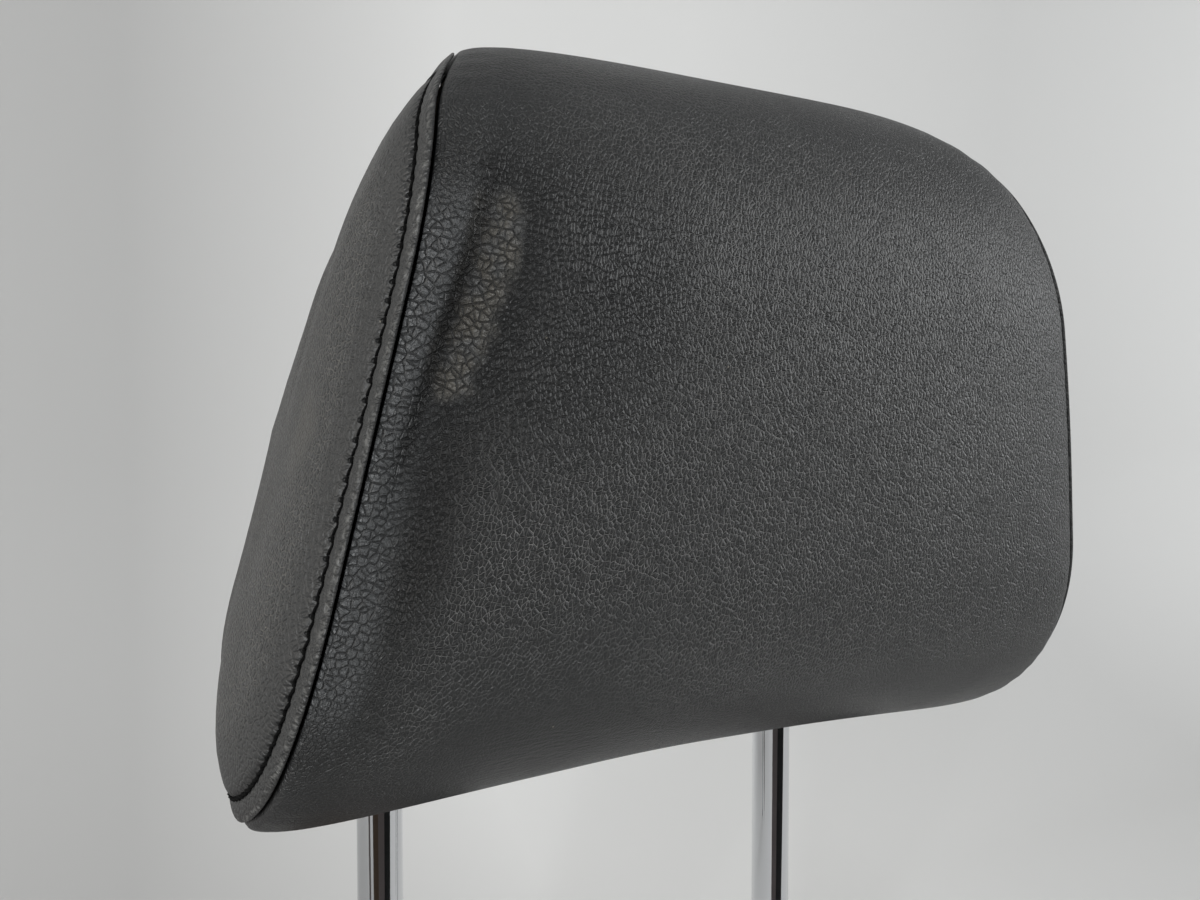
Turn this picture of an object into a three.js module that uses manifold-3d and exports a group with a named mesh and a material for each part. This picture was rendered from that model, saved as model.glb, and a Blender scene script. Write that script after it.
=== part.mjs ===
// Car headrest: a leatherette cushion with sewn side panels on a chromed steel hoop.
// Millimetres. X is the width, -Y faces the occupant's head, +Z is up.
// The origin is midway between the two post tips.
import * as THREE from 'three';
import { mergeVertices } from 'three/addons/utils/BufferGeometryUtils.js';
import Module from 'manifold-3d';

const wasm = await Module();
wasm.setup();

// Posts
const postDiameter = 14;
const postSpacing = 150;
const postLength = 168;
const tubeWall = 2;
const hoopCornerRadius = 30;
const hoopBendRadius = 40;
const hoopLean = THREE.MathUtils.degToRad(8);
const hoopLeanStart = 22;
const hoopInnerHeight = 88;
const plugHeadHeight = 2;
const plugShankLength = 12;
const plugChamfer = 1;

// Cushion seen from the side: four corners of a rounded outline, heights above the underside
const frontTop = { depth: -114, height: 180.5, radius: 60 };
const rearTop = { depth: 2, height: 192.3, radius: 39 };
const rearBottom = { depth: 30, height: 0, radius: 18 };
const frontBottom = { depth: -97, height: 0, radius: 68 };

// Cushion seen from the front: half width of the side seam and how it changes with height
const seamHalfWidth = 97.5;
const seamReferenceHeight = 97;
const sideTaper = 0.22;
const topTurnHeight = 158;
const topTurn = 0.0138;
const topTurnEase = 0.455;
const topTurnEaseStart = -80;
const topTurnEaseLength = 80;
const bottomFlareHeight = 23;
const bottomFlare = 0.0039;

// Crown of the main panel and dome of the side panels
const frontCrown = 3.9;
const topCrown = 5;
const bottomCrown = 2.3;
const crownFlatness = 5.9;
const crownEdge = 0.606;
const sideDome = 8.3;
const sideDomeTaper = 0.0277;
const sideDomeFlatness = 2.67;
const seamOffsetFade = 6;

// Cover
const coverThickness = 1.5;
const weltHeight = 0.9;
const weltShoulder = 1.2;
const weltWidth = 6.2;
const stitchInset = 7;
const threadRadius = 0.35;
const slitWidth = 2;

// Closure strips under the cushion
const stripWall = 1.4;
const stripReach = 11;
const stripHookHeight = 6;
const stripHookDepth = 4;
const stripEndClearance = 4;

// Carrier shells that clamp the hoop inside the foam
const carrierWall = 2.5;
const carrierFrontDepth = 20;
const carrierRearDepth = 11;
const carrierBottom = 8;
const carrierSideMargin = 3;
const carrierCornerRadius = 12;
const ribThickness = 3;
const ribHeights = [28, 54];

// Screws that join the shells
const screwHalfSpacing = 42;
const screwHeights = [20, 64];
const screwShankRadius = 1.5;
const screwLength = 18;
const screwHeadRadius = 3.6;
const screwHeadHeight = 2;
const bossRadius = 6;

// Clearances
const contactGap = 0.3;
const screwGap = 0.15;

// Mesh density
const outlineSteps = 60;
const widthSteps = 14;
const tubeSides = 16;
const threadSides = 4;

// Worked out from the sizes above
const postRadius = postDiameter / 2;
const undersideZ = postLength;
const leanStartZ = undersideZ + hoopLeanStart;
const foamInset = coverThickness + contactGap;
const carrierHalfWidth = postSpacing / 2 + postRadius + carrierSideMargin;
const carrierTop = hoopInnerHeight + postRadius + carrierSideMargin;

const leatherette = { color: 0x2b2b2a, roughness: 0.55, metalness: 0 };
const threadFinish = { color: 0x161616, roughness: 0.8, metalness: 0 };
const chrome = { color: 0xd5d7da, roughness: 0.06, metalness: 1 };
const foamFinish = { color: 0x8f8a7c, roughness: 0.95, metalness: 0 };
const plastic = { color: 0x26282a, roughness: 0.5, metalness: 0 };
const zincSteel = { color: 0xa9abac, roughness: 0.35, metalness: 1 };

const headrest = new THREE.Group();
headrest.name = 'headrest';

// Turns a list of triangles, given as corner points, into one geometry with shared vertices.
function geometryFromTriangles(points) {
  const geometry = new THREE.BufferGeometry().setFromPoints(points);
  return mergeVertices(geometry, 1e-5);
}

// Joins rings of equal length, one to the next, into a closed surface.
// The ends are closed by fans, by strips across a thin ring, or by joining last to first.
function loftRings(rings, ends) {
  const points = [];
  const count = rings[0].length;
  const spans = ends === 'loop' ? rings.length : rings.length - 1;
  for (let r = 0; r < spans; r += 1) {
    const near = rings[r];
    const far = rings[(r + 1) % rings.length];
    for (let i = 0; i < count; i += 1) {
      const next = (i + 1) % count;
      points.push(near[i], near[next], far[next]);
      points.push(near[i], far[next], far[i]);
    }
  }
  if (ends === 'fan') {
    closeWithFan(points, rings[0], true);
    closeWithFan(points, rings[rings.length - 1], false);
  }
  if (ends === 'strip') {
    closeWithStrip(points, rings[0], true);
    closeWithStrip(points, rings[rings.length - 1], false);
  }
  return geometryFromTriangles(points);
}

function closeWithFan(points, ring, isFirst) {
  const centre = new THREE.Vector3();
  ring.forEach((point) => centre.add(point));
  centre.divideScalar(ring.length);
  ring.forEach((point, i) => {
    const next = ring[(i + 1) % ring.length];
    if (isFirst) points.push(centre, next, point);
    else points.push(centre, point, next);
  });
}

function closeWithStrip(points, ring, isFirst) {
  const half = ring.length / 2;
  for (let i = 0; i < half - 1; i += 1) {
    const a = ring[i];
    const b = ring[i + 1];
    const c = ring[ring.length - 2 - i];
    const d = ring[ring.length - 1 - i];
    if (isFirst) points.push(a, c, b, a, d, c);
    else points.push(a, b, c, a, c, d);
  }
}

function toSolid(geometry) {
  const plain = geometry.clone();
  plain.deleteAttribute('normal');
  plain.deleteAttribute('uv');
  const merged = mergeVertices(plain, 1e-4);
  return new wasm.Manifold(new wasm.Mesh({
    numProp: 3,
    vertProperties: new Float32Array(merged.attributes.position.array),
    triVerts: new Uint32Array(merged.index.array),
  }));
}

function toGeometry(solid) {
  const result = solid.getMesh();
  const geometry = new THREE.BufferGeometry();
  geometry.setAttribute('position', new THREE.BufferAttribute(result.vertProperties, 3));
  geometry.setIndex(new THREE.BufferAttribute(result.triVerts, 1));
  geometry.computeVertexNormals();
  return geometry;
}

function addPiece(name, geometry, finish, parent = headrest) {
  const mesh = new THREE.Mesh(geometry, new THREE.MeshStandardMaterial(finish));
  mesh.name = name;
  parent.add(mesh);
  return mesh;
}

// Side outline of the cushion as a path in the YZ plane, from the rear edge of the closure
// slit round the back, top and front to the slit's front edge.
function sideOutline() {
  const corners = [rearBottom, rearTop, frontTop, frontBottom].map((corner) => ({
    point: new THREE.Vector2(corner.depth, undersideZ + corner.height),
    radius: corner.radius,
  }));
  const path = new THREE.Path();
  path.moveTo(slitWidth / 2, undersideZ);
  corners.forEach((corner, i) => {
    const before = corners[(i + 3) % 4].point;
    const after = corners[(i + 1) % 4].point;
    const toBefore = before.clone().sub(corner.point).normalize();
    const toAfter = after.clone().sub(corner.point).normalize();
    const halfAngle = Math.acos(toBefore.dot(toAfter)) / 2;
    const start = corner.point.clone().addScaledVector(toBefore, corner.radius / Math.tan(halfAngle));
    const end = corner.point.clone().addScaledVector(toAfter, corner.radius / Math.tan(halfAngle));
    const middle = toBefore.clone().add(toAfter).normalize();
    const centre = corner.point.clone().addScaledVector(middle, corner.radius / Math.sin(halfAngle));
    const startAngle = start.clone().sub(centre).angle();
    const endAngle = end.clone().sub(centre).angle();
    path.lineTo(start.x, start.y);
    path.absarc(centre.x, centre.y, corner.radius, startAngle, endAngle, false);
  });
  path.lineTo(-slitWidth / 2, undersideZ);
  return path;
}

const outlinePath = sideOutline();
const outline = outlinePath.getSpacedPoints(outlineSteps).map((point, i, all) => {
  const before = all[Math.max(i - 1, 0)];
  const after = all[Math.min(i + 1, all.length - 1)];
  const along = after.clone().sub(before).normalize();
  return { point, normal: new THREE.Vector2(along.y, -along.x) };
});
const outlineCentre = new THREE.Vector2();
outline.forEach((station) => outlineCentre.add(station.point));
outlineCentre.divideScalar(outline.length);

function taperedHalfWidth(z) {
  return seamHalfWidth - sideTaper * (z - undersideZ - seamReferenceHeight);
}

function halfWidthAt(point) {
  const height = point.y - undersideZ;
  const above = Math.max(height - topTurnHeight, 0);
  const below = Math.max(bottomFlareHeight - height, 0);
  const behind = THREE.MathUtils.clamp((point.x - topTurnEaseStart) / topTurnEaseLength, 0, 1);
  const turn = topTurn * (1 - topTurnEase * behind);
  return taperedHalfWidth(point.y) - turn * above ** 2 + bottomFlare * below ** 2;
}

// Point on the main panel: across runs from -1 at the left seam to 1 at the right seam.
function mainPoint(station, across, inset) {
  const up = Math.max(station.normal.y, 0) ** 2;
  const down = Math.max(-station.normal.y, 0) ** 2;
  const fullCrown = frontCrown + (topCrown - frontCrown) * up + (bottomCrown - frontCrown) * down;
  const crown = fullCrown * (1 - Math.abs(across) ** crownFlatness) ** crownEdge;
  const at = station.point.clone().addScaledVector(station.normal, crown - inset);
  const halfWidth = halfWidthAt(station.point) - inset;
  return new THREE.Vector3(across * halfWidth, at.x, at.y);
}

// Point on a side panel: inward is 0 on the seam and 1 in the middle of the panel.
function sidePoint(station, side, inward, inset, raise) {
  const seam = station.point.clone().addScaledVector(station.normal, -inset);
  const at = seam.clone().lerp(outlineCentre, inward);
  const outward = 1 - inward;
  const seamOffset = halfWidthAt(station.point) - taperedHalfWidth(seam.y);
  const fullDome = sideDome - sideDomeTaper * (at.y - undersideZ - seamReferenceHeight);
  const dome = fullDome * (1 - outward ** sideDomeFlatness);
  const width = taperedHalfWidth(at.y) + seamOffset * outward ** seamOffsetFade + dome - inset + raise;
  return new THREE.Vector3(side * width, at.x, at.y);
}

function sidePointAtDistance(station, side, distance, inset, raise) {
  const inward = distance / station.point.distanceTo(outlineCentre);
  return sidePoint(station, side, inward, inset, raise);
}

const domeRings = [0.14, 0.26, 0.4, 0.58, 0.8];
const hiddenDomeRings = [0.14, 0.4, 0.8];

// Hoop: one bent tube with both posts and the crossbar inside the cushion
function hoopCentreLine() {
  const halfSpan = postSpacing / 2;
  const leaned = (x, up) => new THREE.Vector3(
    x,
    -Math.sin(hoopLean) * up,
    leanStartZ + Math.cos(hoopLean) * up,
  );
  const points = [new THREE.Vector3(-halfSpan, 0, plugHeadHeight)];
  const bendReach = hoopBendRadius * Math.tan(hoopLean / 2);
  const bendSteps = 3;
  for (let i = 0; i <= bendSteps; i += 1) {
    const angle = hoopLean * i / bendSteps;
    points.push(new THREE.Vector3(
      -halfSpan,
      -hoopBendRadius * (1 - Math.cos(angle)),
      leanStartZ - bendReach + hoopBendRadius * Math.sin(angle),
    ));
  }
  const cornerSteps = 6;
  for (let i = 0; i <= cornerSteps; i += 1) {
    const angle = Math.PI / 2 * i / cornerSteps;
    points.push(leaned(
      -halfSpan + hoopCornerRadius * (1 - Math.cos(angle)),
      hoopInnerHeight - hoopCornerRadius * (1 - Math.sin(angle)),
    ));
  }
  const mirrored = points.map((point) => new THREE.Vector3(-point.x, point.y, point.z)).reverse();
  return points.concat(mirrored);
}

function ringsAlong(line, radius, sides) {
  const across = new THREE.Vector3(0, 1, 0);
  return line.map((point, i) => {
    const before = line[Math.max(i - 1, 0)];
    const after = line[Math.min(i + 1, line.length - 1)];
    const along = after.clone().sub(before).normalize();
    const first = across.clone().addScaledVector(along, -across.dot(along)).normalize();
    const second = along.clone().cross(first);
    return Array.from({ length: sides }, (_, k) => {
      const angle = 2 * Math.PI * k / sides;
      return point.clone()
        .addScaledVector(first, radius * Math.cos(angle))
        .addScaledVector(second, radius * Math.sin(angle));
    });
  });
}

const hoopLine = hoopCentreLine();
const boreRadius = postRadius - tubeWall;
const hoopOutside = ringsAlong(hoopLine, postRadius, tubeSides);
const hoopInside = ringsAlong(hoopLine, boreRadius, tubeSides).reverse();
addPiece('post_hoop', loftRings([...hoopOutside, ...hoopInside], 'loop'), chrome);

// Plastic plugs pressed into the open ends of the tube; their heads are the post tips
const plugProfile = [
  new THREE.Vector2(0, 0),
  new THREE.Vector2(postRadius - plugChamfer, 0),
  new THREE.Vector2(postRadius, plugChamfer),
  new THREE.Vector2(postRadius, plugHeadHeight - contactGap),
  new THREE.Vector2(boreRadius - contactGap, plugHeadHeight - contactGap),
  new THREE.Vector2(boreRadius - contactGap, plugHeadHeight + plugShankLength),
  new THREE.Vector2(0, plugHeadHeight + plugShankLength),
];
for (const [name, side] of [['left', -1], ['right', 1]]) {
  const plug = new THREE.LatheGeometry(plugProfile, tubeSides);
  const mesh = addPiece(`post_end_plug_${name}`, plug, plastic);
  mesh.rotation.x = Math.PI / 2;
  mesh.position.x = side * postSpacing / 2;
}

// Main panel: one piece of leatherette from the closure slit round the back, top and front
const acrossSteps = Array.from({ length: widthSteps + 1 }, (_, j) => (
  Math.sin(Math.PI / 2 * (2 * j / widthSteps - 1))
));
const mainRings = outline.map((station) => {
  const outside = acrossSteps.map((across) => mainPoint(station, across, 0));
  const inside = acrossSteps.map((across) => mainPoint(station, across, coverThickness));
  return [...outside, ...inside.reverse()];
}).reverse();
const mainPanel = toSolid(loftRings(mainRings, 'strip'));
const postHoleHeight = 60;
const postHole = new THREE.CylinderGeometry(
  postRadius + contactGap,
  postRadius + contactGap,
  postHoleHeight,
  tubeSides,
);
postHole.rotateX(Math.PI / 2);
const postHoles = [-1, 1].map((side) => toSolid(
  postHole.clone().translate(side * postSpacing / 2, 0, undersideZ),
));
addPiece(
  'cover_main_panel',
  toGeometry(mainPanel.subtract(postHoles[0]).subtract(postHoles[1])),
  leatherette,
);

// Side panels, each with the raised welt that its folded seam allowance makes
for (const [name, side] of [['left', -1], ['right', 1]]) {
  const shift = contactGap;
  const ringAt = (distance, raise) => outline.map((station) => (
    sidePointAtDistance(station, side, distance, 0, raise + shift)
  ));
  const domeRing = (inward, inset) => outline.map((station) => (
    sidePoint(station, side, inward, inset, shift)
  ));
  const outside = [
    ringAt(0, 0),
    ringAt(weltShoulder, weltHeight),
    ringAt(weltWidth - weltShoulder, weltHeight),
    ringAt(weltWidth, 0),
    ...domeRings.map((inward) => domeRing(inward, 0)),
  ];
  const inside = [0, ...hiddenDomeRings].map((inward) => domeRing(inward, coverThickness));
  const rings = [...outside.reverse(), ...inside];
  if (side > 0) rings.reverse();
  addPiece(`cover_side_panel_${name}`, loftRings(rings, 'fan'), leatherette);

  const threadRings = outline.map((station) => {
    const raise = shift + contactGap + threadRadius;
    const centre = sidePointAtDistance(station, side, stitchInset, 0, raise);
    const inwards = outlineCentre.clone().sub(station.point).normalize();
    return Array.from({ length: threadSides }, (_, k) => {
      const angle = -side * 2 * Math.PI * k / threadSides;
      return centre.clone().add(new THREE.Vector3(
        side * threadRadius * Math.cos(angle),
        threadRadius * Math.sin(angle) * inwards.x,
        threadRadius * Math.sin(angle) * inwards.y,
      ));
    });
  });
  addPiece(`side_topstitch_${name}`, loftRings(threadRings, 'loop'), threadFinish);
}

// Carrier and everything placed with it lean forward with the upper part of the hoop
const leaning = new THREE.Group();
leaning.position.z = leanStartZ;
leaning.rotation.x = hoopLean;
headrest.add(leaning);

// Rounded upright slab in the leaning frame, from one depth to another
function carrierSlab(halfWidth, bottom, top, radius, fromDepth, toDepth) {
  const shape = new THREE.Shape();
  shape.moveTo(-halfWidth + radius, bottom);
  shape.lineTo(halfWidth - radius, bottom);
  shape.absarc(halfWidth - radius, bottom + radius, radius, -Math.PI / 2, 0, false);
  shape.lineTo(halfWidth, top - radius);
  shape.absarc(halfWidth - radius, top - radius, radius, 0, Math.PI / 2, false);
  shape.lineTo(-halfWidth + radius, top);
  shape.absarc(-halfWidth + radius, top - radius, radius, Math.PI / 2, Math.PI, false);
  shape.lineTo(-halfWidth, bottom + radius);
  shape.absarc(-halfWidth + radius, bottom + radius, radius, Math.PI, 1.5 * Math.PI, false);
  const slab = new THREE.ExtrudeGeometry(shape, {
    depth: toDepth - fromDepth,
    bevelEnabled: false,
    curveSegments: 4,
  });
  slab.rotateX(Math.PI / 2);
  slab.translate(0, toDepth, 0);
  return slab;
}

function alongDepth(radius, fromDepth, toDepth, x, z) {
  const rod = new THREE.CylinderGeometry(radius, radius, toDepth - fromDepth, tubeSides);
  return rod.translate(x, (fromDepth + toDepth) / 2, z);
}

const hoopSpace = toSolid(loftRings(ringsAlong(hoopLine, postRadius + contactGap, tubeSides), 'fan'))
  .translate(0, 0, -leanStartZ)
  .rotate(-THREE.MathUtils.radToDeg(hoopLean), 0, 0);
const screwPlaces = [];
for (const z of screwHeights) {
  for (const side of [-1, 1]) screwPlaces.push({ x: side * screwHalfSpacing, z });
}

function carrierShell(fromDepth, toDepth, floorSide) {
  const wall = carrierWall;
  const pocketFrom = floorSide < 0 ? fromDepth + wall : fromDepth - 1;
  const pocketTo = floorSide < 0 ? toDepth + 1 : toDepth - wall;
  let shell = toSolid(carrierSlab(
    carrierHalfWidth, carrierBottom, carrierTop, carrierCornerRadius, fromDepth, toDepth,
  ));
  shell = shell.subtract(toSolid(carrierSlab(
    carrierHalfWidth - wall,
    carrierBottom + wall,
    carrierTop - wall,
    carrierCornerRadius - wall,
    pocketFrom,
    pocketTo,
  )));
  for (const height of ribHeights) {
    const rib = new THREE.BoxGeometry(
      2 * carrierHalfWidth - wall,
      toDepth - fromDepth - wall / 2,
      ribThickness,
    );
    const middle = (fromDepth + toDepth + floorSide * wall / 2) / 2;
    shell = shell.add(toSolid(rib.translate(0, middle, carrierBottom + height)));
  }
  for (const place of screwPlaces) {
    shell = shell.add(toSolid(alongDepth(bossRadius, fromDepth, toDepth, place.x, place.z)));
  }
  return shell.subtract(hoopSpace);
}

const halfPartingGap = contactGap / 2;
let frontShell = carrierShell(-carrierFrontDepth, -halfPartingGap, -1);
let rearShell = carrierShell(halfPartingGap, carrierRearDepth, 1);
const headSeat = carrierRearDepth - screwHeadHeight - contactGap;
for (const place of screwPlaces) {
  const holeRadius = screwShankRadius + screwGap;
  const holeEnd = headSeat - screwLength - contactGap;
  const hole = toSolid(alongDepth(holeRadius, holeEnd, carrierRearDepth + 1, place.x, place.z));
  const recess = toSolid(alongDepth(
    screwHeadRadius + contactGap, headSeat, carrierRearDepth + 1, place.x, place.z,
  ));
  frontShell = frontShell.subtract(hole);
  rearShell = rearShell.subtract(hole).subtract(recess);
}
addPiece('carrier_front_shell', toGeometry(frontShell), plastic, leaning);
addPiece('carrier_rear_shell', toGeometry(rearShell), plastic, leaning);

const screwProfile = [
  new THREE.Vector2(0, -screwLength),
  new THREE.Vector2(screwShankRadius, -screwLength + screwShankRadius),
  new THREE.Vector2(screwShankRadius, 0),
  new THREE.Vector2(screwHeadRadius, 0),
  new THREE.Vector2(screwHeadRadius, screwHeadHeight / 2),
  new THREE.Vector2(screwHeadRadius / 2, screwHeadHeight),
  new THREE.Vector2(0, screwHeadHeight),
];
screwPlaces.forEach((place, i) => {
  const screw = new THREE.LatheGeometry(screwProfile, 12);
  const mesh = addPiece(`carrier_screw_${i + 1}`, screw, zincSteel, leaning);
  mesh.position.set(place.x, headSeat + screwGap, place.z);
});

// Closure strips: two hooked plastic profiles sewn to the flaps of the cover, hooked together
const stripLength = postSpacing - 2 * (postRadius + stripEndClearance);
const stripFloor = undersideZ - bottomCrown + coverThickness + contactGap;

function stripSolid(outlinePoints) {
  const shape = new THREE.Shape(outlinePoints.map(([y, z]) => new THREE.Vector2(y, z)));
  const strip = new THREE.ExtrudeGeometry(shape, { depth: stripLength, bevelEnabled: false });
  strip.rotateX(Math.PI / 2);
  strip.rotateZ(Math.PI / 2);
  return strip.translate(-stripLength / 2, 0, stripFloor);
}

const hookTop = stripHookHeight;
const frontStripOutline = [
  [-stripReach, 0],
  [-slitWidth / 2, 0],
  [-slitWidth / 2, hookTop],
  [-slitWidth / 2 - stripHookDepth, hookTop],
  [-slitWidth / 2 - stripHookDepth, hookTop - 2 * stripWall],
  [-slitWidth / 2 - stripHookDepth + stripWall, hookTop - 2 * stripWall],
  [-slitWidth / 2 - stripHookDepth + stripWall, hookTop - stripWall],
  [-slitWidth / 2 - stripWall, hookTop - stripWall],
  [-slitWidth / 2 - stripWall, stripWall],
  [-stripReach, stripWall],
];
const rearHookTop = hookTop + contactGap + stripWall;
const rearHookTip = -slitWidth / 2 - stripHookDepth - contactGap;
const rearStripOutline = [
  [stripReach, 0],
  [stripReach, stripWall],
  [slitWidth / 2 + stripWall, stripWall],
  [slitWidth / 2 + stripWall, rearHookTop],
  [rearHookTip - stripWall, rearHookTop],
  [rearHookTip - stripWall, hookTop - 2 * stripWall],
  [rearHookTip, hookTop - 2 * stripWall],
  [rearHookTip, rearHookTop - stripWall],
  [slitWidth / 2, rearHookTop - stripWall],
  [slitWidth / 2, 0],
];
addPiece('closure_strip_front', stripSolid(frontStripOutline), plastic);
addPiece('closure_strip_rear', stripSolid(rearStripOutline), plastic);

// Foam: one moulded pad with a pocket for the carrier and a channel for the closure strips
const foamRings = [];
const foamSide = (side, inward) => outline.map((station) => (
  sidePoint(station, side, inward, foamInset, 0)
));
[...hiddenDomeRings].reverse().forEach((inward) => foamRings.push(foamSide(-1, inward)));
acrossSteps.filter((_, j) => j % 2 === 0).forEach((across) => {
  foamRings.push(outline.map((station) => mainPoint(station, across, foamInset)));
});
hiddenDomeRings.forEach((inward) => foamRings.push(foamSide(1, inward)));
const foamBlank = toSolid(loftRings(foamRings, 'fan'));
const pocketDepth = -(hoopLeanStart + 2 * coverThickness + stripReach);
const pocket = toSolid(carrierSlab(
  carrierHalfWidth + contactGap,
  pocketDepth,
  carrierTop + contactGap,
  carrierCornerRadius + contactGap,
  -carrierFrontDepth - contactGap,
  carrierRearDepth + contactGap,
)).rotate(THREE.MathUtils.radToDeg(hoopLean), 0, 0).translate(0, 0, leanStartZ);
const channelHeight = rearHookTop + 2 * contactGap;
const channel = toSolid(new THREE.BoxGeometry(
  stripLength + 2 * contactGap,
  2 * (stripReach + contactGap),
  2 * channelHeight,
).translate(0, 0, stripFloor));
addPiece('foam_pad', toGeometry(foamBlank.subtract(pocket).subtract(channel)), foamFinish);

export default headrest;
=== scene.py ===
import math

import bmesh
import bpy
from mathutils import Matrix, Vector, noise


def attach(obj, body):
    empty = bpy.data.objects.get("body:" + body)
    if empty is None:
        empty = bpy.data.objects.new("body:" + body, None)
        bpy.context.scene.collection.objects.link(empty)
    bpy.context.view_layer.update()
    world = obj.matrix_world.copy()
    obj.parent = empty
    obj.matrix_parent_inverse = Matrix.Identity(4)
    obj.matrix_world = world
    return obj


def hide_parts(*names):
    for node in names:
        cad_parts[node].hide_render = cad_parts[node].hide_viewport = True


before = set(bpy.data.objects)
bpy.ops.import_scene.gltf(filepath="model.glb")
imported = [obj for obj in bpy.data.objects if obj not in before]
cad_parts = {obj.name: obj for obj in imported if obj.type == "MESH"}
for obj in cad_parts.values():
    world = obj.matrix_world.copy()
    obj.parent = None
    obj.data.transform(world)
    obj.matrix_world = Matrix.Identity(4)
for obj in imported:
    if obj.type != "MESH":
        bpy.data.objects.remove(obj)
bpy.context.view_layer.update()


# Hoop
# One bright chromed steel tube, bent so that its two ends are the posts and its middle is a
# crossbar inside the cushion. It is bent cold, polished and plated, and its cut ends are eased.
POST_RADIUS = 0.007
POST_BORE = 0.005
POST_SPACING = 0.150
POST_TIP = 0.002
UNDERSIDE = 0.168
LEAN = math.radians(8)
LEAN_START = 0.190
LEAN_BEND_RADIUS = 0.040
CROSSBAR_UP = 0.088
CORNER_RADIUS = 0.030
END_EASE = 0.0006
LEFT_RIGHT = (("left", -1), ("right", 1))


def newest(made, kind):
    return [item for item in made["geom"] if isinstance(item, kind)]


def push_ring(mesh, ring, offset=(0, 0, 0), widen=1.0, centre=None):
    made = bmesh.ops.extrude_edge_only(mesh, edges=ring)
    verts = newest(made, bmesh.types.BMVert)
    if centre is not None:
        about = Matrix.Translation(-Vector(centre))
        bmesh.ops.scale(mesh, verts=verts, vec=(widen, widen, 1), space=about)
    bmesh.ops.translate(mesh, verts=verts, vec=offset)
    edges = newest(made, bmesh.types.BMEdge)
    return [edge for edge in edges if all(vert in verts for vert in edge.verts)]


def bend_ring(mesh, ring, centre, axis, angle, steps):
    verts = list(dict.fromkeys(vert for edge in ring for vert in edge.verts))
    made = bmesh.ops.spin(mesh, geom=verts + ring, cent=centre, axis=axis, dvec=(0, 0, 0),
                          angle=angle, steps=steps, use_merge=False, use_duplicate=False)
    return [item for item in made["geom_last"] if isinstance(item, bmesh.types.BMEdge)]


def make_piece(name, mesh, material, stands_for=()):
    data = bpy.data.meshes.new(name)
    mesh.to_mesh(data)
    mesh.free()
    for face in data.polygons:
        face.use_smooth = True
    piece = bpy.data.objects.new(name, data)
    bpy.context.scene.collection.objects.link(piece)
    data.materials.append(material)
    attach(piece, "root")
    if stands_for:
        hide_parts(*stands_for)
    return piece


def link(material, source, target):
    material.node_tree.links.new(source, target)


def new_material(name, colour, roughness, metallic=0.0):
    material = bpy.data.materials.new(name)
    material.use_nodes = True
    shader = material.node_tree.nodes["Principled BSDF"]
    shader.inputs["Base Color"].default_value = (*colour, 1)
    shader.inputs["Roughness"].default_value = roughness
    shader.inputs["Metallic"].default_value = metallic
    return material, shader


def add_noise(material, scale, detail=2.0, stretch=(1, 1, 1)):
    nodes = material.node_tree.nodes
    place = nodes.new("ShaderNodeTexCoord")
    mapping = nodes.new("ShaderNodeMapping")
    mapping.inputs["Scale"].default_value = stretch
    pattern = nodes.new("ShaderNodeTexNoise")
    pattern.inputs["Scale"].default_value = scale
    pattern.inputs["Detail"].default_value = detail
    link(material, place.outputs["Object"], mapping.inputs["Vector"])
    link(material, mapping.outputs["Vector"], pattern.inputs["Vector"])
    return pattern


def add_range(material, source, low, high, from_low=0.0, from_high=1.0):
    spread = material.node_tree.nodes.new("ShaderNodeMapRange")
    spread.inputs["From Min"].default_value = from_low
    spread.inputs["From Max"].default_value = from_high
    spread.inputs["To Min"].default_value = low
    spread.inputs["To Max"].default_value = high
    link(material, source, spread.inputs["Value"])
    return spread.outputs["Result"]


def add_bump(material, height, depth, strength=1.0):
    bump = material.node_tree.nodes.new("ShaderNodeBump")
    bump.inputs["Distance"].default_value = depth
    bump.inputs["Strength"].default_value = strength
    link(material, height, bump.inputs["Height"])
    return bump.outputs["Normal"]


chrome, chrome_shader = new_material("bright_chrome", (0.70, 0.71, 0.73), 0.05, 1.0)
polish = add_noise(chrome, 900.0, 3.0, (1, 1, 0.05))
link(chrome, add_range(chrome, polish.outputs["Fac"], 0.035, 0.10), chrome_shader.inputs["Roughness"])
link(chrome, add_bump(chrome, polish.outputs["Fac"], 0.000004), chrome_shader.inputs["Normal"])

lean_up = Vector((0, -math.sin(LEAN), math.cos(LEAN)))
bend_reach = LEAN_BEND_RADIUS * math.tan(LEAN / 2)
post_x = -POST_SPACING / 2
hoop = bmesh.new()
bend_centre = (post_x, -LEAN_BEND_RADIUS, LEAN_START - bend_reach)
corner_centre = Vector((post_x + CORNER_RADIUS, 0, LEAN_START))
corner_centre += lean_up * (CROSSBAR_UP - CORNER_RADIUS)
across_lean = lean_up.cross(Vector((1, 0, 0)))


def cut_end():
    tip = Matrix.Translation((post_x, 0, POST_TIP))
    made = bmesh.ops.create_circle(hoop, segments=48, radius=POST_BORE, matrix=tip)
    return list(dict.fromkeys(edge for vert in made["verts"] for edge in vert.link_edges))


def follow_bends(ring, start):
    """Carries one wall of the tube from its cut end to the middle of the crossbar."""
    ring = push_ring(hoop, ring, (0, 0, LEAN_START - bend_reach - start))
    ring = bend_ring(hoop, ring, bend_centre, (1, 0, 0), LEAN, 5)
    ring = push_ring(hoop, ring, lean_up * (CROSSBAR_UP - CORNER_RADIUS - bend_reach))
    ring = bend_ring(hoop, ring, corner_centre, across_lean, math.pi / 2, 14)
    push_ring(hoop, ring, (-post_x - CORNER_RADIUS, 0, 0))


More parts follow.
